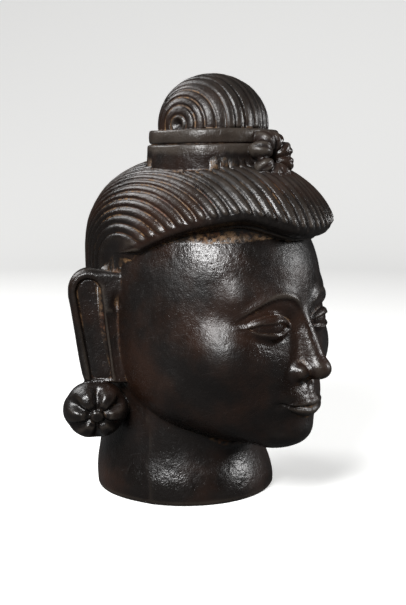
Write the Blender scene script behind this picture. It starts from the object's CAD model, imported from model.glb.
import math
import bmesh
import bpy
import numpy as np
from mathutils import Matrix, Vector, noise
from mathutils.bvhtree import BVHTree


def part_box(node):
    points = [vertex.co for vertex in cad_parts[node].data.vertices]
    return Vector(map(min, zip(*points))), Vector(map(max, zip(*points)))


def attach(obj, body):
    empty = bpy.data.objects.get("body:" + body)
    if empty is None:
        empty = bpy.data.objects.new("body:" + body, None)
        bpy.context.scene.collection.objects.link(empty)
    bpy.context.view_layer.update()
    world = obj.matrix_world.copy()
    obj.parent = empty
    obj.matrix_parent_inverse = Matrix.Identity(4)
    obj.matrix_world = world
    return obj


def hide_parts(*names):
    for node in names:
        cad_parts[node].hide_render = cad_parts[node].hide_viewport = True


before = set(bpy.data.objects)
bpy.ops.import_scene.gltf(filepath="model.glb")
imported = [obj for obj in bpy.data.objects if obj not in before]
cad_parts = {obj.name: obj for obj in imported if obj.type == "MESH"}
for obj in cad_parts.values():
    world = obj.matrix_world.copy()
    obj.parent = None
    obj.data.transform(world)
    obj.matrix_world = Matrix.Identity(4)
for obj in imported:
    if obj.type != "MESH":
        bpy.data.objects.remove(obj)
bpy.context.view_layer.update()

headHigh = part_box("buddha_head")[1]
metre = 1000.0                              # the shapes below are worked out in millimetres
topHeight = headHigh.z * metre
print("frame loaded, head is", round(topHeight, 1), "mm high")


# Shaping helpers: soft joins of round forms, as in clay

def softMin(a, b, blend):
    h = np.clip(0.5 + 0.5 * (b - a) / blend, 0, 1)
    return b * (1 - h) + a * h - blend * h * (1 - h)


def softMax(a, b, blend):
    return -softMin(-a, -b, blend)


def egg(p, centre, radii):
    q = (p - np.array(centre, float)) / np.array(radii, float)
    near = np.linalg.norm(q, axis=1)
    slope = np.linalg.norm(q / np.array(radii, float), axis=1)
    return near * (near - 1) / np.maximum(slope, 1e-9)


def rod(p, start, end, startRadius, endRadius):
    start = np.array(start, float)
    axis = np.array(end, float) - start
    t = np.clip(((p - start) @ axis) / (axis @ axis), 0, 1)
    reach = np.linalg.norm(p - start - t[:, None] * axis, axis=1)
    return reach - (startRadius + (endRadius - startRadius) * t)


def smooth(value, low, high):
    t = np.clip((value - low) / (high - low), 0, 1)
    return t * t * (3 - 2 * t)


def bell(value, middle, width):
    return np.exp(-((value - middle) / width) ** 2)


def lerp(a, b, t):
    return a + (b - a) * t


def gridBall(columns, rows):                # a closed ball, with each vertex's column and row
    ball = bmesh.new()
    bmesh.ops.create_uvsphere(ball, u_segments=columns, v_segments=rows, radius=1)
    spots = np.array([vert.co for vert in ball.verts])
    turn = np.arctan2(spots[:, 0], -spots[:, 1]) / math.tau % 1
    column = np.rint(turn * columns).astype(int) % columns
    row = np.rint((np.arcsin(np.clip(spots[:, 2], -1, 1)) / math.pi + 0.5) * rows).astype(int)
    column[(row == 0) | (row == rows)] = 0
    return ball, column, row


def faceOutwards(form):                     # a form turned inside out would be joined as a hollow
    bmesh.ops.recalc_face_normals(form, faces=form.faces)
    if form.calc_volume(signed=True) < 0:
        bmesh.ops.reverse_faces(form, faces=form.faces)


def moveTo(form, spots):                    # spots in millimetres, one for each vertex
    for vert, spot in zip(form.verts, spots / metre):
        vert.co = spot
    faceOutwards(form)
    return form


def spotsOf(form):
    return np.array([vert.co for vert in form.verts]) * metre


def pieceFrom(form, name):
    mesh = bpy.data.meshes.new(name)
    form.to_mesh(mesh)
    form.free()
    piece = bpy.data.objects.new(name, mesh)
    bpy.context.scene.collection.objects.link(piece)
    return piece


def readVerts(mesh, name):
    values = np.empty(len(mesh.vertices) * 3)
    mesh.vertices.foreach_get(name, values)
    return values.reshape(-1, 3)


# Face: calm and plain, on even thirds from hairline to brow, brow to nose and nose to chin

face = {
    "middle": (0, -34, 126), "reach": 168, "front": -60,
    "eyeX": 30.5, "eyeHeight": 143, "eyeHalf": 18.5, "eyeDepth": -97, "eyeWrap": 0.36,
    "mouthHeight": 83, "mouthHalf": 23.5,
    "walkSteps": 44, "walkStride": 0.9,
    "columns": [(12, 9), (40, 42), (30, 96), (16, 128), (7, 180)],     # steps, and the angle they reach
    "rows": [(3, -60), (20, -38), (34, -12), (18, 0), (40, 24), (24, 48), (5, 90)],
}


def lidLines(x):
    along = (np.abs(x) - face["eyeX"]) / face["eyeHalf"]
    bow = np.clip(1 - along ** 2, 0, None)
    slit = face["eyeHeight"] - 1.5 + 1.1 * along
    return along, slit, slit + 5.6 * bow ** 0.75, slit - 3.0 * bow ** 0.9


def lipLines(x):
    side = np.minimum(np.abs(x) / face["mouthHalf"], 1)
    line = face["mouthHeight"] + 1.5 * side ** 2.2 - 0.8 * bell(x, 0, 5)
    peak = 1.2 * bell(np.abs(x), 6, 4.5)
    top = line + (7.0 + peak) * (1 - side ** 1.7)
    bottom = line - 9.0 * (1 - side ** 2.4)
    return side, line, top, bottom


def faceField(p):
    q = p.copy()
    q[:, 0] = np.abs(q[:, 0])
    x, y, z = q.T
    d = egg(q, (0, -22, 168), (77, 96, 86))                        # brain case
    d = softMin(d, egg(q, (0, -28, 114), (77, 82, 72)), 24)        # cheeks and jaw
    d = softMin(d, egg(q, (0, -76, 96), (50, 39, 44)), 22)
    d = softMin(d, egg(q, (41, -80, 121), (26, 24, 22)), 20)       # cheekbones
    d = softMin(d, rod(q, (10, -92, 68), (54, -40, 90), 18, 17), 16)
    d = softMin(d, egg(q, (0, -99, 63), (20, 22, 15.5)), 12)       # chin
    d = softMin(d, egg(q, (0, -103, 88), (27, 21, 17)), 12)        # round of the mouth
    d = softMin(d, rod(q, (12, -101, 160), (44, -90, 163), 10, 9), 14)     # brow bone
    d = softMax(d, -egg(q, (31, -130, 144), (26, 17.5, 12.5)), 9)  # eye sockets
    nose = rod(q, (0, -108, 160), (0, -130, 113), 6.2, 7.6)
    nose = softMin(nose, rod(q, (0, -100, 150), (0, -114, 112), 9, 13), 7)
    nose = softMin(nose, egg(q, (0, -131, 110.5), (8.2, 9.6, 7.6)), 5)
    nose = softMin(nose, egg(q, (11.2, -119.5, 108.5), (5.4, 9, 6.2)), 3)
    d = softMin(d, nose, 6)
    d = softMax(d, -egg(q, (5.6, -126, 101.2), (3.2, 5.5, 3.6)), 1.5)
    along, slit, upper, lower = lidLines(x)
    outer = x - face["eyeX"]                                       # the eye wraps round the side of the face
    q[:, 1] -= np.where(outer > 0, face["eyeWrap"] * outer, 0.12 * outer)
    place = (face["eyeX"], face["eyeDepth"], face["eyeHeight"])
    lid = softMax(egg(q, place, (22.0, 20.6, 16.0)), -np.maximum(z - upper, lower - z), 0.4)
    d = softMin(d, lid, 2.0)
    return softMin(d, egg(q, place, (20, 18.2, 14.5)), 0.3)


def browRelief(x, z):
    side = np.abs(x)
    t = np.clip((side - 5) / 52, 0, 1)
    line = 152.5 + 14.5 * np.sin(math.pi * t ** 0.8) - 6 * t
    ridge = np.where(z > line, bell(z, line, 5.5), bell(z, line, 1.3))
    return 2.8 * ridge * smooth(side, 3, 12) * (1 - smooth(side, 44, 58))


def lidRelief(x, z):
    along, slit, upper, lower = lidLines(x)
    crease = -1.3 * bell(z, upper + 5.6 - 1.8 * along ** 2, 1.1) * (1 - smooth(np.abs(along), 0.75, 1.2))
    tail = 0.5 * bell(z, slit + 1.2 - 3 * (along - 1), 1.2)
    tail *= smooth(along, 0.9, 1.05) * (1 - smooth(along, 1.2, 1.45))
    bag = -0.5 * bell(z, lower - 5.5 + 2 * along ** 2, 1.6) * (1 - smooth(np.abs(along), 0.5, 1.1))
    return crease + tail + bag


def lipRelief(x, z):
    side, line, top, bottom = lipLines(x)
    up = np.clip((z - line) / np.maximum(top - line, 0.4), 0, 1)
    down = np.clip((line - z) / np.maximum(line - bottom, 0.4), 0, 1)
    lips = 3.4 * np.sin(math.pi * up ** 0.7) ** 0.8 + 4.4 * np.sin(math.pi * down ** 0.66) ** 0.8
    parting = -1.9 * bell(z, line, 1.0) * (1 - smooth(np.abs(x) / face["mouthHalf"], 0.9, 1.15))
    channel = -0.9 * bell(x, 0, 3) * smooth(z, 91, 94) * (1 - smooth(z, 98, 102))
    corner = -1.5 * np.exp(-((np.abs(x) - 25.5) / 3.0) ** 2 - ((z - 84) / 3.4) ** 2)
    return lips * (1 - side ** 2.4) + parting + channel + corner


def walkIn(rays):                           # distance from the middle to the face along each ray
    far = np.full(len(rays), float(face["reach"]))
    middle = np.array(face["middle"], float)
    for _ in range(face["walkSteps"]):
        far -= face["walkStride"] * faceField(middle + rays * far[:, None])
    return far


def between(z, rest, moved):
    out = z.copy()
    for i in range(len(rest) - 1):
        t = (z - rest[i]) / (rest[i + 1] - rest[i])
        inside = (t >= 0) & (t <= 1)
        out = np.where(inside, lerp(moved[i], moved[i + 1], t), out)
    return out


def rowHeight(spots):                       # rows of the grid follow the lids and the lips
    x, y, z = spots.T
    flat = 0 * x
    inFront = y < face["front"]
    along, slit, upper, lower = lidLines(x)
    low, high = face["eyeHeight"] - 18, face["eyeHeight"] + 18
    lids = (low + flat, np.minimum(lower, slit - 1), np.maximum(upper, slit + 1), high + flat)
    near = (1 - smooth(np.abs(along), 0.95, 1.6)) * inFront
    z = lerp(z, between(z, (low, 139.5, 146.5, high), lids), near)
    side, line, top, bottom = lipLines(x)
    lips = (60 + flat, np.minimum(bottom, line - 1.5), line, np.maximum(top, line + 1.5), 103 + flat)
    near = (1 - smooth(np.abs(x) / face["mouthHalf"], 0.9, 1.5)) * inFront
    return lerp(z, between(z, (60, 73.5, 83, 91, 103), lips), near)


def unevenSteps(zones, first):
    angles = [first]
    for count, last in zones:
        angles += list(np.linspace(angles[-1], last, count + 1)[1:])
    return np.radians(angles)


def carveFace():
    half = unevenSteps(face["columns"], 0)
    azimuths = np.concatenate([half, -half[1:-1][::-1]])
    elevations = unevenSteps(face["rows"], -90)
    form, column, row = gridBall(len(azimuths), len(elevations) - 1)
    a, e = azimuths[column], elevations[row]
    rays = np.stack([np.sin(a) * np.cos(e), -np.cos(a) * np.cos(e), np.sin(e)], 1)
    middle = np.array(face["middle"], float)
    first = middle + rays * walkIn(rays)[:, None]
    first[:, 2] = rowHeight(first)
    rays = first - middle
    rays /= np.linalg.norm(rays, axis=1)[:, None]
    spots = middle + rays * walkIn(rays)[:, None]
    relief = browRelief(spots[:, 0], spots[:, 2]) + lidRelief(spots[:, 0], spots[:, 2])
    relief += lipRelief(spots[:, 0], spots[:, 2])
    relief *= spots[:, 1] < face["front"] - 10
    return moveTo(form, spots + rays * relief[:, None])


# Hair: a combed cap whose locks run from the fringe over the head to the nape
# "lip" holds distances from the edge onto the cap, "under" distances inward and along

hair = {
    "middle": (0, -24, 188), "halfWidth": 82, "halfDepth": 111.5, "above": 80, "below": 150,
    "fullness": 2.4,
    "bow": 0.18, "gather": 0.25, "gatherFrom": 0.43,
    "locks": 38, "rowsPerLock": 6, "poleAngle": math.radians(9), "groove": 2.3, "wander": 0.09,
    "stations": 74, "lipFront": 7.0, "lipSide": 2.5, "strip": 3.5, "point": 8.0,
    "peakHeight": 211.2, "templeHeight": 222.8, "earHeight": 187, "napeHeight": 90,
    "peakAngle": 5, "templeAngle": 34, "earAngle": 105, "napeAngle": 150,
    "lip": [9.0, 7.4, 5.9, 4.6, 3.4, 2.3, 1.4, 0.6, 0.1], "backEdge": 3.0, "edgeTries": 24,
    "under": [(1.5, -0.6), (4.0, -0.8), (5.6, -0.2), (6.6, -1.8), (8.4, -2.6), (10.4, -1.8),
              (20, -0.5)],
    "heart": 0.45,
}


def hairPoint(lock, sweep):
    h = hair
    across = np.cos(lock)
    s = np.stack([across, -np.cos(sweep) * np.sin(lock), np.sin(sweep) * np.sin(lock)], 1)
    s[:, 1] += h["bow"] * across ** 2
    s[:, 0] *= 1 - h["gather"] * (s[:, 1] + h["gatherFrom"])
    s /= np.linalg.norm(s, axis=1)[:, None]
    level = np.hypot(s[:, 0], s[:, 1])
    s *= ((level ** h["fullness"] + np.abs(s[:, 2]) ** h["fullness"]) ** (-1 / h["fullness"]))[:, None]
    tall = np.where(s[:, 2] > 0, h["above"], h["below"])
    size = np.stack([0 * tall + h["halfWidth"], 0 * tall + h["halfDepth"], tall], 1)
    return s * size + np.array(h["middle"])


def hairlineAngle(spots):
    return np.degrees(np.arctan2(np.abs(spots[:, 0]), hair["middle"][1] - spots[:, 1]))


def hairlineHeight(angle):
    h = hair
    brow = lerp(h["peakHeight"], h["templeHeight"], smooth(angle, h["peakAngle"], h["templeAngle"]))
    fall = np.clip((angle - h["templeAngle"]) / (h["earAngle"] - h["templeAngle"]), 0, 1) ** 1.5
    temple = lerp(h["templeHeight"], h["earHeight"], fall)
    nape = lerp(h["earHeight"], h["napeHeight"], smooth(angle, h["earAngle"], h["napeAngle"]))
    return np.where(angle <= h["templeAngle"], brow, np.where(angle <= h["earAngle"], temple, nape))


def hairEdge(lock, inside, outside):
    inside = np.full(len(lock), float(inside))
    outside = np.full(len(lock), float(outside))
    for _ in range(hair["edgeTries"]):
        middle = (inside + outside) / 2
        spots = hairPoint(lock, middle)
        above = spots[:, 2] > hairlineHeight(hairlineAngle(spots))
        inside = np.where(above, middle, inside)
        outside = np.where(above, outside, middle)
    return inside


def lockProfile(part, narrow=1.0, flat=2.0):       # 0 on the ridge, 1 in the groove; narrow pinches it
    u = np.clip(np.abs(2 * part - 1) / np.maximum(narrow, 0.02), 0, 1)
    return 1 - (np.sqrt(1 - 0.96 * u ** flat) - 0.2) / 0.8 * smooth(narrow, 0.05, 0.45)


def wanderOf(number, sweep, count):         # slow drift of one groove along its length, seeded
    phase = np.random.default_rng(count).uniform(0, math.tau, (count + 2, 2))
    return np.sin(2.1 * sweep + phase[number, 0]) + 0.5 * np.sin(4.7 * sweep + phase[number, 1])


def carveHair():
    h = hair
    rows = h["locks"] * h["rowsPerLock"]
    middle = np.array(h["middle"], float)
    plan = [(0, d, 0) for d in (0.2, 1.6, 3.4)]                     # end (0 nape, 1 fringe), along, inward
    plan += [(t, None, 0) for t in np.linspace(0, 1, h["stations"])]
    plan += [(1, d, 0) for d in h["lip"]]
    plan += [(1, along, inward) for inward, along in h["under"]]
    plan += [(1, 0, "deep"), (0, 0, "deep"), (0, -1, 8), (0, -1, 3)]
    form, column, row = gridBall(len(plan), rows)
    number = np.minimum(row // h["rowsPerLock"], h["locks"] - 1)
    part = row / h["rowsPerLock"] - number
    polar = np.where((row == 0) | (row == rows), math.pi * row / rows,
                     lerp(h["poleAngle"], math.pi - h["poleAngle"], row / rows))
    front = hairEdge(polar, math.pi / 2, -math.pi / 4)
    back = hairEdge(polar, math.pi / 2, 1.7 * math.pi)
    step = 0.02
    frontMove = hairPoint(polar, front + step) - hairPoint(polar, front)      # millimetres for each radian
    backMove = hairPoint(polar, back - step) - hairPoint(polar, back)
    speedFront = np.maximum(np.linalg.norm(frontMove, axis=1) / step, 8)
    speedBack = np.maximum(np.linalg.norm(backMove, axis=1) / step, 8)
    end = np.array([entry[0] for entry in plan])[column]
    free = np.array([entry[1] is None for entry in plan])[column]
    along = np.array([entry[1] or 0 for entry in plan], float)[column]
    deep = np.array([entry[2] == "deep" for entry in plan])[column]
    inward = np.array([0 if entry[2] == "deep" else entry[2] for entry in plan], float)[column]
    firstSweep = back - 5.2 / speedBack
    lastSweep = front + 10.5 / speedFront
    sweep = np.where(free, lerp(firstSweep, lastSweep, end),
                     np.where(end == 1, front + along / speedFront, back - along / speedBack))
    fromFront = np.where(free | (end == 1), (sweep - front) * speedFront, 99)
    fromBack = np.where(free | (end == 0), (back - sweep) * speedBack, 99)
    pitch = (math.pi - 2 * h["poleAngle"]) / h["locks"]
    drift = lerp(wanderOf(number, sweep, h["locks"]), wanderOf(number + 1, sweep, h["locks"]), part)
    drift *= smooth(fromFront, 0, 14) * smooth(fromBack, 0, 14)               # the ends stay where they are
    lock = polar + pitch * h["wander"] * drift * np.sin(polar)
    spots = hairPoint(lock, sweep)
    angle = hairlineAngle(spots)
    lipRadius = lerp(h["lipFront"], h["lipSide"], smooth(angle, 40, 95))
    nearEdge = np.clip(np.minimum(fromFront, fromBack), 0, None)
    edgeRadius = np.where(fromFront < fromBack, lipRadius, h["backEdge"])
    gap = np.clip(edgeRadius - nearEdge, 0, edgeRadius)
    rounding = edgeRadius - np.sqrt(np.maximum(edgeRadius ** 2 - gap ** 2, 0))
    narrow = np.sqrt(smooth(nearEdge, h["strip"], h["strip"] + h["point"]))
    grooveDepth = h["groove"] * (1 + 0.12 * np.sin(3 * sweep + number * 2.4)) * np.sin(polar) ** 0.3
    inset = grooveDepth * lockProfile(part, narrow) + rounding + inward
    arm = spots - middle
    length = np.linalg.norm(arm, axis=1)
    wanted = np.where(deep, length * h["heart"], length - inset)
    return moveTo(form, middle + arm * (wanted / length)[:, None])


# Topknot: a ball of hair with locks that circle it from side to side

bun = {"radius": 43, "halfHeight": 40, "axisY": -28.4, "locks": 17, "rowsPerLock": 7, "columns": 80,
       "groove": 1.9, "wander": 0.1, "flat": 3.2, "eyeRadius": 6.5, "eyeDepth": 3.0}


def carveBun():
    b = bun
    rows = b["locks"] * b["rowsPerLock"]
    middle = np.array((0, b["axisY"], topHeight - b["halfHeight"]))
    form, column, row = gridBall(b["columns"], rows)
    number = np.minimum(row // b["rowsPerLock"], b["locks"] - 1)
    part = row / b["rowsPerLock"] - number
    sweep = math.tau * column / b["columns"]
    polar = math.pi * row / rows
    drift = lerp(np.sin(sweep + number * 1.9), np.sin(sweep + (number + 1) * 1.9), part)
    lock = polar + math.pi / b["locks"] * b["wander"] * drift * np.sin(polar)
    cut = b["groove"] * (1 + 0.25 * np.sin(2 * sweep + number * 1.3))
    size = 1 - cut / b["radius"] * lockProfile(part, 1.0, b["flat"])
    side = np.minimum(polar, math.pi - polar) * b["radius"]
    size = size - b["eyeDepth"] / b["radius"] * (1 - smooth(side, 2, b["eyeRadius"]))
    spots = np.stack([np.cos(lock) * b["radius"], -np.cos(sweep) * np.sin(lock) * b["radius"],
                      np.sin(sweep) * np.sin(lock) * b["halfHeight"]], 1)
    return moveTo(form, spots * size[:, None] + middle)


# Turned forms: the neck and the band are profiles spun round an upright axis

def spinProfile(profile, axisY, steps):
    form = bmesh.new()
    verts = [form.verts.new((radius / metre, axisY / metre, height / metre)) for radius, height in profile]
    edges = [form.edges.new(pair) for pair in zip(verts, verts[1:])]
    bmesh.ops.spin(form, geom=verts + edges, cent=(0, axisY / metre, 0), axis=(0, 0, 1), angle=math.tau,
                   steps=steps, use_merge=True, use_duplicate=False)
    bmesh.ops.remove_doubles(form, verts=form.verts, dist=1e-6)
    faceOutwards(form)
    return form


neck = {"profile": [(70.6, 0), (71.4, 0.8), (71.9, 2.2), (72.4, 8.4), (71.2, 18), (67.5, 31.5), (66, 42),
                    (66, 100)],
        "lean": 4, "leanHeight": 42, "sides": 150, "rise": 2.0,
        "seamAngle": math.radians(-73), "seamStep": 0.9}


def softProfile(corners, step):             # a smooth line through the corners, points a step apart
    corners = np.array(corners, float)
    reach = np.concatenate([[0], np.cumsum(np.linalg.norm(np.diff(corners, axis=0), axis=1))])
    places = np.linspace(0, reach[-1], max(2, int(reach[-1] / step)))
    line = np.stack([np.interp(places, reach, corners[:, i]) for i in (0, 1)], 1)
    for _ in range(6):
        line[1:-1] = (line[:-2] + 2 * line[1:-1] + line[2:]) / 4
    return [tuple(point) for point in line]


def carveNeck():
    n = neck
    foot = [(0.0, 0.0), (35.0, 0.0)] + n["profile"][:3]
    form = spinProfile(foot + softProfile(n["profile"][2:], n["rise"])[1:] + [(0.0, 100.0)], 0, n["sides"])
    spots = spotsOf(form)
    turn = np.arctan2(spots[:, 0], -spots[:, 1]) - n["seamAngle"] - 0.012 * np.sin(spots[:, 2] / 6)
    step = n["seamStep"] * smooth(-turn, -0.02, 0.03) * (1 - smooth(-turn, 0.25, 0.8))
    spots[:, :2] *= (1 - step / np.maximum(np.hypot(spots[:, 0], spots[:, 1]), 40))[:, None]
    spots[:, 1] += n["lean"] * smooth(spots[:, 2], 0, n["leanHeight"])
    return moveTo(form, spots)


band = {"upperRadius": 50.2, "lowerRadius": 51.5, "top": 285.8, "split": 275, "foot": 246, "groove": 2.0,
        "edge": 1.2, "sides": 120}


def carveBand():
    b = band
    upper, lower, edge = b["upperRadius"], b["lowerRadius"], b["edge"]
    profile = [(0, b["foot"]), (lower, b["foot"]), (lower + 0.3, 257), (lower, 266)]
    profile += [(lower, b["split"] - edge - 0.8), (lower - edge * 0.4, b["split"] - edge * 0.6)]
    profile += [(lower - edge, b["split"] - 0.5), (upper - b["groove"], b["split"])]
    profile += [(upper - edge, b["split"] + 0.5), (upper - edge * 0.3, b["split"] + edge)]
    profile += [(upper, b["split"] + edge + 1), (upper + 0.3, 280.5), (upper, b["top"] - edge - 0.6)]
    profile += [(upper - edge * 0.35, b["top"] - edge * 0.5), (upper - edge - 0.2, b["top"]), (0, b["top"])]
    form = spinProfile(profile, bun["axisY"], b["sides"])
    spots = spotsOf(form)
    turn = np.arctan2(spots[:, 0], spots[:, 1] - bun["axisY"])
    spots[:, 2] += 0.7 * np.sin(turn * 2 + 0.6) * smooth(spots[:, 2], 262, 270)
    radius = 1 + 0.006 * np.sin(turn * 3 + 1.0) + 0.004 * np.sin(turn * 7 + spots[:, 2] * 0.1)
    spots[:, 0] *= radius
    spots[:, 1] = bun["axisY"] + (spots[:, 1] - bun["axisY"]) * radius
    return moveTo(form, spots)


# Flower: round petals about a hollow, leaning on the front of the band

flower = {"petals": 8, "radius": 22.5, "petalLength": 9.4, "petalWidth": 6.9, "petalDepth": 8.5,
          "height": 264.5, "standOff": 5.0, "lean": math.radians(16), "seatRadius": 11,
          "seatDepth": 18, "pitRadius": 5.0, "crease": 0.15, "creaseWidth": 0.26}


def placeFlower(form):
    f = flower
    turn = Matrix.Rotation(math.pi / 2 - f["lean"], 4, "X")
    spot = Vector((0, bun["axisY"] - band["lowerRadius"] - f["standOff"], f["height"])) / metre
    bmesh.ops.transform(form, matrix=Matrix.Translation(spot) @ turn, verts=form.verts)
    return form


def carvePetal(number):
    f = flower
    form, column, row = gridBall(24, 18)
    spots = spotsOf(form) / metre
    crease = bell(spots[:, 0], 0, f["creaseWidth"])
    crease *= smooth(spots[:, 1], -0.8, 0.4) * smooth(spots[:, 2], -0.2, 0.5)
    spots *= (1 - f["crease"] * crease)[:, None]
    spots[:, 0] *= 1 - 0.34 * smooth(-spots[:, 1], -0.4, 1)        # petals narrow towards the middle
    size = 1 + 0.06 * math.sin(number * 2.3)
    spots *= np.array((f["petalWidth"], f["petalLength"], f["petalDepth"])) * size
    spots[:, 2] += 1.6 * bell(spots[:, 1], 2, 6)
    spots[:, 1] += f["radius"] - f["petalLength"]
    turn = (number + 0.5 + 0.06 * math.sin(number * 4.1)) * math.tau / f["petals"]
    cos, sin = math.cos(turn), math.sin(turn)
    spots[:, :2] = spots[:, :2] @ np.array(((cos, sin), (-sin, cos)))
    return placeFlower(moveTo(form, spots))


def carveSeat():
    f = flower
    profile = [(0, -f["seatDepth"]), (f["seatRadius"], -f["seatDepth"]), (f["seatRadius"], 0)]
    profile += [(f["seatRadius"] - 2, 1.6), (f["pitRadius"] + 2.0, 2.4), (f["pitRadius"], 1.2)]
    profile += [(f["pitRadius"] - 1, -5.5), (f["pitRadius"] - 2.6, -7.4), (0, -7.8)]
    return placeFlower(spinProfile(profile, 0, 40))


# Ears: long flat lobes with a rolled rim round a sunken panel

ear = {"rootX": 73, "rootY": -3, "turn": math.radians(47), "depth": 20, "archMiddle": 27.5,
       "archHeight": 165.2, "archRadius": 16.3, "archFoot": 160, "foot": 93, "footWidth": 33,
       "inside": -8, "columns": 132,
       "rim": 6.5, "panel": 2.6, "edgeRound": 5.0, "backRound": 3.5,
       "grooveFoot": 10.6, "grooveTop": 18.3, "panelFoot": 95.5}


def earOutline(count):                      # from the lobe's inner corner round outside and over the arch
    e = ear
    corners = [(e["inside"], e["foot"]), (e["footWidth"] - 3.5, e["foot"])]
    corners += [(e["footWidth"] - 1, e["foot"] + 0.8), (e["footWidth"], e["foot"] + 3)]
    corners += [(e["archMiddle"] + e["archRadius"], e["archFoot"])]
    for a in np.linspace(0.05, 1.75, 20):
        corners += [(e["archMiddle"] + e["archRadius"] * math.cos(a),
                     e["archHeight"] + e["archRadius"] * math.sin(a))]
    corners += [(14, e["archHeight"] + 14.6), (e["inside"], e["archHeight"] + 12)]
    corners = np.array(corners + corners[:1], float)
    reach = np.concatenate([[0], np.cumsum(np.linalg.norm(np.diff(corners, axis=0), axis=1))])
    places = np.arange(count) / count * reach[-1]
    return np.stack([np.interp(places, reach, corners[:, i]) for i in (0, 1)], 1)


def placeOnHead(spots, side):               # outward, up and towards the front, to the head's own frame
    out, up, ahead = spots.T
    cos, sin = math.cos(ear["turn"]), math.sin(ear["turn"])
    x = side * (ear["rootX"] + out * cos + ahead * sin)
    return np.stack([x, ear["rootY"] + out * sin - ahead * cos, up], 1)


def earRelief(out, up):                     # depth of the carving on the ear's front
    e = ear
    rise = (up - e["foot"]) / (e["archFoot"] - e["foot"])
    outer = lerp(e["footWidth"], e["archMiddle"] + e["archRadius"], rise)
    groove = lerp(e["grooveFoot"], e["grooveTop"], (up - 105) / 61)
    middle = (e["grooveTop"] + e["archMiddle"] + e["archRadius"] - e["rim"]) / 2
    arch = np.hypot(out - middle, up - e["archHeight"]) - (middle - e["grooveTop"])
    sides = np.maximum(out - outer + e["rim"], groove - out)
    outside = np.maximum(np.where(up > e["archHeight"], arch, sides), e["panelFoot"] - up)
    depth = -e["panel"] * (1 - smooth(outside, -1.8, 0.4)) - 0.7 * bell(outside, -1.1, 0.8)
    depth += 0.5 * bell(outside, 3, 2.2)
    inner = smooth(groove - out, 0.3, 2.2) * (1 - smooth(up, 146, 149)) * smooth(up, 93, 97)
    depth -= (1.3 + 0.14 * np.clip(groove - out, 0, 12)) * inner
    depth -= 6.5 * np.exp(-((out - 5.2) / 3.6) ** 2 - ((up - 155.5) / 5.6) ** 2)
    depth += 0.9 * bell(out, 1.8, 1.0) * smooth(up, 95, 101) * (1 - smooth(up, 140, 150))
    return depth - 5 * (1 - smooth(out, -4, 1.2))                  # the inner side sinks into the cheek


def carveEar(side):
    e = ear
    front = list(np.linspace(0.16, 1, 15))
    rim = [5.6, 4.5, 3.5, 2.6, 1.8, 1.1, 0.5, 0.12]
    body = [(0, -7.5), (0, -11), (0, -14.5), (0.25, -17), (1.2, -19), (3.2, -20), (7, -20.3),
            (12, -20.4)]                                           # inset and depth, round to the back
    rows = len(front) + len(rim) + len(body) + 1
    form, column, row = gridBall(e["columns"], rows)
    outline = earOutline(e["columns"])
    height = np.clip(outline[:, 1], 108, 166)
    spine = np.stack([lerp(15, 25, (height - 108) / 58), height], 1)
    inward = spine - outline
    inward /= np.linalg.norm(inward, axis=1)[:, None]
    flat = np.zeros((rows + 1, e["columns"], 3))                   # one closed ring of points for each row
    flat[0] = flat[rows] = (20, 137, 0)
    for i, t in enumerate(front):
        flat[1 + i, :, :2] = lerp(spine, outline + inward * 6.8, t)
    for i, inset in enumerate(rim):
        gap = max(e["edgeRound"] - inset, 0)
        flat[1 + len(front) + i, :, :2] = outline + inward * inset
        flat[1 + len(front) + i, :, 2] = math.sqrt(e["edgeRound"] ** 2 - gap ** 2) - e["edgeRound"]
    first = 1 + len(front) + len(rim)
    flat[:first, :, 2] += earRelief(flat[:first, :, 0], flat[:first, :, 1])
    for i, (inset, depth) in enumerate(body):
        flat[first + i, :, :2] = outline + inward * inset
        flat[first + i, :, 2] = depth
    flat[rows, :, 2] = -20.6
    return moveTo(form, placeOnHead(flat[rows - row, column], side))


# Ear ornaments: balls with six round petals about a small boss

earring = {"radius": 25, "squash": 0.92, "halfDepth": 18, "petals": 6, "groove": 4.4, "out": 23.5, "back": 5,
           "height": 72.5, "turn": math.radians(40), "tilt": math.radians(-10), "columns": 96, "rows": 52}


def carveEarring(side):
    r = earring
    form, column, row = gridBall(r["columns"], r["rows"])
    angle = math.tau * column / r["columns"]
    polar = math.pi * (1 - row / r["rows"])
    furrow = np.abs(np.cos(angle * r["petals"] / 2)) ** 5
    deep = smooth(polar, 0.22, 0.42) * (1 - 0.8 * smooth(polar, 0.95, 1.35)) * (1 - smooth(polar, 1.6, 2.2))
    size = 1 - r["groove"] / r["radius"] * furrow * deep
    size -= 0.2 * bell(polar, 0.30, 0.09)                          # ring cut round the boss
    size -= 0.06 * (1 - smooth(polar, 0.1, 0.3))
    size += 0.07 * bell(polar, 0.75, 0.3) * (1 - furrow)
    reach = r["radius"] * np.sin(polar) * size
    spots = np.stack([np.sin(angle) * reach, -np.cos(angle) * reach * r["squash"],
                      np.cos(polar) * r["halfDepth"] * size], 1)
    moveTo(form, spots)
    turn = Matrix.Rotation(side * r["turn"], 4, "Z") @ Matrix.Rotation(math.pi / 2 - r["tilt"], 4, "X")
    spot = Vector(placeOnHead(np.array([(r["out"], r["height"], -r["back"])]), side)[0]) / metre
    bmesh.ops.transform(form, matrix=Matrix.Translation(spot) @ turn, verts=form.verts)
    return form


# One stone: every form is joined into a single closed mesh, and the joins are softened

fillet = {"rings": 3, "passes": 7, "share": 0.5, "sliver": 0.00002,
          "crispForms": {2, 3, 4}}          # hair, band and topknot


def shellVolume(shell):                     # below nothing where the shell bounds a hollow
    polygons = {polygon for vert in shell for polygon in vert.link_faces}
    volume = 0
    for polygon in polygons:
        a, *others = (vert.co for vert in polygon.verts)
        for b, c in zip(others, others[1:]):
            volume += a.dot(b.cross(c)) / 6
    return volume


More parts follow.
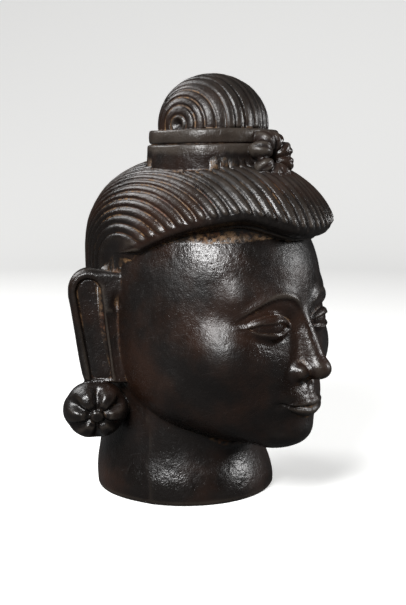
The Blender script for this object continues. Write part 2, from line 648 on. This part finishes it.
def cleanStone(form):                       # no slivers, and no closed hollow left inside the stone
    bmesh.ops.dissolve_degenerate(form, dist=fillet["sliver"], edges=form.edges)
    loose = set(form.verts)
    hollows = 0
    solids = 0
    while loose:
        shell = {loose.pop()}
        rim = list(shell)
        while rim:
            vert = rim.pop()
            fresh = {link.other_vert(vert) for link in vert.link_edges} - shell
            shell |= fresh
            rim += fresh
        loose -= shell
        if shellVolume(shell) < 0:
            hollows += 1
            bmesh.ops.delete(form, geom=list(shell), context="VERTS")
        else:
            solids += 1
    print("closed hollows filled:", hollows, "solids left:", solids)


def markForm(form, number):                 # each form's faces keep its number through the joining
    layer = form.faces.layers.int.new("formNumber")
    for polygon in form.faces:
        polygon[layer] = number


def softenJoins(mesh):
    form = bmesh.new()
    form.from_mesh(mesh)
    cleanStone(form)
    layer = form.faces.layers.int["formNumber"]
    near = set()
    for edge in form.edges:
        numbers = {polygon[layer] for polygon in edge.link_faces}
        if len(numbers) > 1 and not numbers & fillet["crispForms"]:
            near.update(edge.verts)
    for _ in range(fillet["rings"]):
        near.update([edge.other_vert(vert) for vert in list(near) for edge in vert.link_edges])
    for _ in range(fillet["passes"]):
        bmesh.ops.smooth_vert(form, verts=list(near), factor=fillet["share"],
                              use_axis_x=True, use_axis_y=True, use_axis_z=True)
    torn = sum(len(edge.link_faces) != 2 for edge in form.edges)
    print("joins softened at", len(near), "vertices,", torn, "edges torn")
    form.to_mesh(mesh)
    form.free()


def joinForms(forms):
    for number, form in enumerate(forms):
        markForm(form, number)
    whole = pieceFrom(forms[0], "carvedHead")
    for form in forms[1:]:
        part = pieceFrom(form, "formToJoin")
        union = whole.modifiers.new("join", "BOOLEAN")
        union.operation = "UNION"
        union.solver = "MANIFOLD"
        union.object = part
        ready = whole.evaluated_get(bpy.context.evaluated_depsgraph_get())
        mesh = bpy.data.meshes.new_from_object(ready)
        whole.modifiers.clear()
        whole.data = mesh
        bpy.data.objects.remove(part)
    return whole


forms = [carveFace()]
print("face carved")
forms += [carveNeck(), carveHair(), carveBand(), carveBun(), carveSeat()]
print("hair carved")
forms += [carvePetal(number) for number in range(flower["petals"])]
for side in (-1, 1):
    forms += [carveEar(side), carveEarring(side)]
stoneHead = joinForms(forms)
softenJoins(stoneHead.data)


# Hand finish: no surface is quite even

handWork = {"dents": [(0.045, 0.55), (0.016, 0.22), (0.006, 0.07)],            # size in metres, depth in mm
            "soleKept": 0.002}


def roughenByHand(mesh):
    spots, normals = readVerts(mesh, "co"), readVerts(mesh, "normal")
    depth = np.zeros(len(spots))
    for size, deep in handWork["dents"]:
        depth += deep * np.array([noise.noise(Vector(spot / size)) for spot in spots])
    depth *= smooth(spots[:, 2], 0.0, handWork["soleKept"])
    mesh.vertices.foreach_set("co", (spots + normals * depth[:, None] / metre).ravel())
    for polygon in mesh.polygons:
        polygon.use_smooth = True
    mesh.update()


roughenByHand(stoneHead.data)
print("one stone", sum(len(p.vertices) - 2 for p in stoneHead.data.polygons), "triangles")
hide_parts("buddha_head")
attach(stoneHead, "root")

# Wear: what hands and dust do to the stone depends on how hollow or how proud each spot is

wear = {"fineBlur": 3, "broadBlur": 24, "rays": 14, "reach": 0.045}


def addMeasure(mesh, name, values):
    layer = mesh.attributes.new(name, "FLOAT", "POINT")
    layer.data.foreach_set("value", np.ascontiguousarray(values, dtype=np.float32))


def measureHollows(mesh):
    spots, normals = readVerts(mesh, "co") * metre, readVerts(mesh, "normal")
    ends = np.empty(len(mesh.edges) * 2, int)
    mesh.edges.foreach_get("vertices", ends)
    a, b = ends.reshape(-1, 2).T
    friends = np.bincount(a, minlength=len(spots)) + np.bincount(b, minlength=len(spots))

    def blur(values, times):
        for _ in range(times):
            total = np.bincount(a, values[b], len(spots)) + np.bincount(b, values[a], len(spots))
            values = (values + total / np.maximum(friends, 1)) / 2
        return values

    def hollowAt(times):
        moved = np.stack([blur(spots[:, i], times) for i in range(3)], 1)
        return np.sum((moved - spots) * normals, axis=1)

    addMeasure(mesh, "fineHollow", blur(hollowAt(wear["fineBlur"]), 1))
    addMeasure(mesh, "broadHollow", blur(hollowAt(wear["broadBlur"]), 2))
    return blur


def measureShelter(mesh, blur):             # the share of the sky that nearby stone hides from each spot
    form = bmesh.new()
    form.from_mesh(mesh)
    tree = BVHTree.FromBMesh(form)
    form.free()
    spots, normals = readVerts(mesh, "co"), readVerts(mesh, "normal")
    hits = np.zeros(len(spots))
    golden = math.pi * (3 - math.sqrt(5))
    for i in range(wear["rays"]):
        z = math.sqrt((i + 0.5) / wear["rays"])
        flat = math.sqrt(1 - z * z)
        local = np.array((flat * math.cos(i * golden), flat * math.sin(i * golden), z))
        side = np.cross(normals, np.array((0.3, 0.5, 0.81)))
        side /= np.maximum(np.linalg.norm(side, axis=1), 1e-9)[:, None]
        rays = side * local[0] + np.cross(normals, side) * local[1] + normals * local[2]
        starts = spots + normals * 0.0004
        for j in range(len(spots)):
            if tree.ray_cast(starts[j], rays[j], wear["reach"])[0] is not None:
                hits[j] += 1
    addMeasure(mesh, "shelter", blur(hits / wear["rays"], 3))


blurStone = measureHollows(stoneHead.data)
measureShelter(stoneHead.data, blurStone)
print("wear measured")

# Stone: nearly black, polished by hands, with ochre dust left in the cuts

stoneLook = {
    "dark": (0.0055, 0.0040, 0.0034, 1), "warm": (0.022, 0.0098, 0.0058, 1),
    "worn": (0.042, 0.033, 0.026, 1), "dust": (0.17, 0.092, 0.036, 1), "rust": (0.14, 0.046, 0.015, 1),
    "chip": (0.42, 0.33, 0.24, 1),
    "roughness": 0.33, "roughSpread": 0.18, "dustRough": 0.8,
    "grainDepth": 0.00042, "scratchDepth": 0.00006, "dabDepth": 0.0007,
}


class nodeBench:                            # a short way to place and link nodes in one tree

    def __init__(self, tree):
        self.tree = tree

    def put(self, kind, values=None, **settings):
        node = self.tree.nodes.new(kind)
        for name, value in settings.items():
            setattr(node, name, value)
        for name, value in (values or {}).items():
            socket = node.inputs[name]
            if isinstance(value, bpy.types.NodeSocket):
                self.tree.links.new(value, socket)
            else:
                socket.default_value = value
        return node

    def sum(self, operation, a, b=0.0, c=None):
        values = {0: a, 1: b}
        if c is not None:
            values[2] = c
        return self.put("ShaderNodeMath", values, operation=operation).outputs[0]

    def span(self, value, low, high, toLow=0.0, toHigh=1.0):
        values = {"Value": value, "From Min": low, "From Max": high, "To Min": toLow, "To Max": toHigh}
        return self.put("ShaderNodeMapRange", values, interpolation_type="SMOOTHSTEP").outputs[0]

    def noise(self, place, scale, detail=3.0, roughness=0.55, stretch=None):
        if stretch:
            values = {"Vector": place, "Scale": stretch[0], "Rotation": stretch[1]}
            place = self.put("ShaderNodeMapping", values, vector_type="TEXTURE").outputs[0]
        values = {"Vector": place, "Scale": scale, "Detail": detail, "Roughness": roughness}
        return self.put("ShaderNodeTexNoise", values).outputs["Fac"]

    def mix(self, share, a, b):
        node = self.put("ShaderNodeMix", data_type="RGBA")
        for i, value in ((0, share), (6, a), (7, b)):
            if isinstance(value, bpy.types.NodeSocket):
                self.tree.links.new(value, node.inputs[i])
            else:
                node.inputs[i].default_value = value
        return node.outputs[2]

    def measure(self, name):
        return self.put("ShaderNodeAttribute", attribute_name=name).outputs["Fac"]


def makeGroup(name, entries, exits):
    tree = bpy.data.node_groups.new(name, "ShaderNodeTree")
    for label, kind, value in entries:
        socket = tree.interface.new_socket(name=label, in_out="INPUT", socket_type=kind)
        if value is not None:
            socket.default_value = value
    for label, kind in exits:
        tree.interface.new_socket(name=label, in_out="OUTPUT", socket_type=kind)
    bench = nodeBench(tree)
    return tree, bench, bench.put("NodeGroupInput").outputs, bench.put("NodeGroupOutput").inputs


def handGrain():                            # the uneven polish: broad dabs, fine grain and long scratches
    tree, bench, given, out = makeGroup("handGrain", [("Place", "NodeSocketVector", None)],
                                        [("Cloud", "NodeSocketFloat"), ("Grain", "NodeSocketFloat"),
                                         ("Scratch", "NodeSocketFloat")])
    place = given["Place"]
    cloud = bench.noise(place, 22, 3)
    grain = bench.sum("ADD", bench.sum("MULTIPLY", bench.noise(place, 260, 3, 0.6), 0.6),
                      bench.sum("MULTIPLY", bench.noise(place, 900, 2), 0.4))
    scratch = 0.0
    for i, turn in enumerate(((0.3, 0.2, 0.0), (1.2, 0.6, 0.0), (0.2, 1.3, 0.0), (0.8, -0.7, 0.0))):
        line = bench.noise(place, 420, 2, 0.5, stretch=((1, 1, 8), turn))
        line = bench.span(line, 0.64, 0.74)
        scratch = bench.sum("MAXIMUM", line, scratch) if i else line
    tree.links.new(cloud, out["Cloud"])
    tree.links.new(grain, out["Grain"])
    tree.links.new(scratch, out["Scratch"])
    return tree


def dustInCuts():                           # dust stays in narrow cuts and sheltered corners, in patches
    tree, bench, given, out = makeGroup("dustInCuts", [("Place", "NodeSocketVector", None),
                                                       ("Fine", "NodeSocketFloat", 0.0),
                                                       ("Broad", "NodeSocketFloat", 0.0),
                                                       ("Shelter", "NodeSocketFloat", 0.0)],
                                        [("Mask", "NodeSocketFloat"), ("Proud", "NodeSocketFloat")])
    patches = bench.span(bench.noise(given["Place"], 26, 4, 0.6), 0.34, 0.64)
    specks = bench.span(bench.noise(given["Place"], 300, 3, 0.6), 0.36, 0.66)
    cuts = bench.sum("ADD", given["Fine"], bench.sum("MULTIPLY", given["Broad"], 0.1))
    cuts = bench.span(cuts, 0.16, 0.42)
    corners = bench.sum("MULTIPLY", bench.span(given["Shelter"], 0.62, 1.0), 0.22)
    held = bench.sum("MAXIMUM", cuts, corners)
    mask = bench.sum("MULTIPLY", held, bench.sum("MULTIPLY", patches, specks))
    tree.links.new(mask, out["Mask"])
    tree.links.new(bench.span(given["Fine"], -0.06, -0.32), out["Proud"])
    return tree


def makeStone():
    look = stoneLook
    stone = bpy.data.materials.new("darkStone")
    stone.use_nodes = True
    bench = nodeBench(stone.node_tree)
    shader = stone.node_tree.nodes["Principled BSDF"]
    place = bench.put("ShaderNodeTexCoord").outputs["Object"]
    grain = bench.put("ShaderNodeGroup", {}, node_tree=handGrain())
    stone.node_tree.links.new(place, grain.inputs["Place"])
    dust = bench.put("ShaderNodeGroup", {}, node_tree=dustInCuts())
    stone.node_tree.links.new(place, dust.inputs["Place"])
    stone.node_tree.links.new(bench.measure("fineHollow"), dust.inputs["Fine"])
    stone.node_tree.links.new(bench.measure("broadHollow"), dust.inputs["Broad"])
    stone.node_tree.links.new(bench.measure("shelter"), dust.inputs["Shelter"])
    cloud, fine, scratch = (grain.outputs[name] for name in ("Cloud", "Grain", "Scratch"))
    warmth = bench.span(bench.noise(place, 13, 4, 0.6), 0.42, 0.68)
    tone = bench.mix(warmth, look["dark"], look["warm"])
    proud = bench.sum("MULTIPLY", dust.outputs["Proud"], bench.span(cloud, 0.3, 0.7, 0.35, 1.0))
    tone = bench.mix(proud, tone, look["worn"])
    rusty = bench.span(bench.noise(place, 48, 2), 0.52, 0.66)
    tone = bench.mix(dust.outputs["Mask"], tone, bench.mix(rusty, look["dust"], look["rust"]))
    chips = bench.put("ShaderNodeTexVoronoi", {"Vector": place, "Scale": 42.0}, feature="F1")
    spot = bench.span(chips.outputs["Distance"], 0.05, 0.025)
    rare = bench.put("ShaderNodeSeparateColor", {0: chips.outputs["Color"]}).outputs[0]
    rare = bench.span(rare, 0.90, 0.92)                            # only one cell in ten has a chip
    chipMask = bench.sum("MULTIPLY", spot, bench.sum("MULTIPLY", rare, bench.span(fine, 0.4, 0.5)))
    tone = bench.mix(chipMask, tone, look["chip"])
    stone.node_tree.links.new(tone, shader.inputs["Base Color"])
    gloss = bench.span(cloud, 0.3, 0.7, look["roughness"] - look["roughSpread"] / 2,
                       look["roughness"] + look["roughSpread"] / 2)
    gloss = bench.sum("MULTIPLY_ADD", scratch, 0.12, gloss)
    gloss = bench.sum("MULTIPLY_ADD", bench.sum("SUBTRACT", fine, 0.5), 0.25, gloss)
    gloss = {0: dust.outputs["Mask"], 2: gloss, 3: look["dustRough"]}
    gloss = bench.put("ShaderNodeMix", gloss, data_type="FLOAT").outputs[0]
    stone.node_tree.links.new(gloss, shader.inputs["Roughness"])
    height = bench.sum("MULTIPLY", fine, look["grainDepth"])
    height = bench.sum("MULTIPLY_ADD", bench.noise(place, 95, 3, 0.6), look["dabDepth"], height)
    height = bench.sum("MULTIPLY_ADD", scratch, -look["scratchDepth"], height)
    bump = bench.put("ShaderNodeBump", {"Height": height, "Strength": 1.0, "Distance": 1.0})
    stone.node_tree.links.new(bump.outputs[0], shader.inputs["Normal"])
    shader.inputs["Specular IOR Level"].default_value = 0.5
    return stone


stoneHead.data.materials.clear()
stoneHead.data.materials.append(makeStone())


# Stage: a pale bowl of a backdrop, soft lights and the camera

stage = {"floorRadius": 1.6, "sweep": 0.8, "wall": 1.6, "tone": (0.9, 0.9, 0.89, 1),
         "bounce": (0.06, 0.06, 0.06, 1), "glow": (0.42, 0.42, 0.415, 1)}


def makeStage():
    form = bmesh.new()
    arc = [(stage["floorRadius"] + stage["sweep"] * math.sin(a), stage["sweep"] * (1 - math.cos(a)))
           for a in np.linspace(0, math.pi / 2, 13)]
    profile = [(0, 0)] + arc + [(stage["floorRadius"] + stage["sweep"], stage["sweep"] + stage["wall"])]
    verts = [form.verts.new((radius, 0, height)) for radius, height in profile]
    edges = [form.edges.new(pair) for pair in zip(verts, verts[1:])]
    bmesh.ops.spin(form, geom=verts + edges, cent=(0, 0, 0), axis=(0, 0, 1), angle=math.tau, steps=96,
                   use_merge=True, use_duplicate=False)
    bmesh.ops.remove_doubles(form, verts=form.verts, dist=1e-6)
    floor = pieceFrom(form, "paleBackdrop")
    for polygon in floor.data.polygons:
        polygon.use_smooth = True
    paint = bpy.data.materials.new("palePaper")
    paint.use_nodes = True
    bench = nodeBench(paint.node_tree)
    seen = bench.put("ShaderNodeLightPath").outputs["Is Camera Ray"]           # it throws back less light
    tone = bench.mix(seen, stage["bounce"], stage["tone"])
    paint.node_tree.links.new(tone, paint.node_tree.nodes["Principled BSDF"].inputs["Base Color"])
    paint.node_tree.nodes["Principled BSDF"].inputs["Roughness"].default_value = 0.9
    glow = bench.mix(seen, (0, 0, 0, 1), stage["glow"])
    paint.node_tree.links.new(glow, paint.node_tree.nodes["Principled BSDF"].inputs["Emission Color"])
    paint.node_tree.nodes["Principled BSDF"].inputs["Emission Strength"].default_value = 1.0
    floor.data.materials.append(paint)


lamps = [
    {"name": "windowLight", "spot": (-1.15, -0.35, 0.95), "size": 0.5, "power": 30},
    {"name": "frontFill", "spot": (0.8, -1.1, 0.55), "size": 0.4, "power": 11},
    {"name": "backLight", "spot": (-0.3, 1.1, 1.2), "size": 0.8, "power": 14},
]


def makeLights():
    aim = Vector((0, -0.04, 0.16))
    for lamp in lamps:
        light = bpy.data.lights.new(lamp["name"], "AREA")
        light.size = lamp["size"]
        light.energy = lamp["power"]
        holder = bpy.data.objects.new(lamp["name"], light)
        holder.location = lamp["spot"]
        holder.rotation_euler = (aim - holder.location).to_track_quat("-Z", "Y").to_euler()
        bpy.context.scene.collection.objects.link(holder)
    world = bpy.data.worlds.new("softRoom")
    world.use_nodes = True
    world.node_tree.nodes["Background"].inputs["Color"].default_value = (1, 1, 1, 1)
    world.node_tree.nodes["Background"].inputs["Strength"].default_value = 0.16
    bpy.context.scene.world = world
    bpy.context.scene.view_settings.view_transform = "Standard"


camera = {"yaw": math.radians(49), "distance": 0.86016, "height": 0.27199, "pitch": math.radians(8.22),
          "turn": math.radians(0.94), "lens": 63.63}


def makeCamera():
    c = camera
    ahead = Vector((math.sin(c["yaw"]), math.cos(c["yaw"]), 0))
    right = Vector((math.cos(c["yaw"]), -math.sin(c["yaw"]), 0))
    look = ahead * math.cos(c["pitch"]) - Vector((0, 0, math.sin(c["pitch"])))
    sight = look * math.cos(c["turn"]) + right * math.sin(c["turn"])
    across = right * math.cos(c["turn"]) - look * math.sin(c["turn"])
    lens = bpy.data.cameras.new("studioCamera")
    lens.lens = c["lens"]
    lens.sensor_width = 36
    holder = bpy.data.objects.new("studioCamera", lens)
    place = Matrix((across, across.cross(sight), -sight)).transposed().to_4x4()
    place.translation = Vector((0, 0, c["height"])) - ahead * c["distance"]
    holder.matrix_world = place
    bpy.context.scene.collection.objects.link(holder)
    bpy.context.scene.camera = holder


makeStage()
makeLights()
makeCamera()
print("stage set")
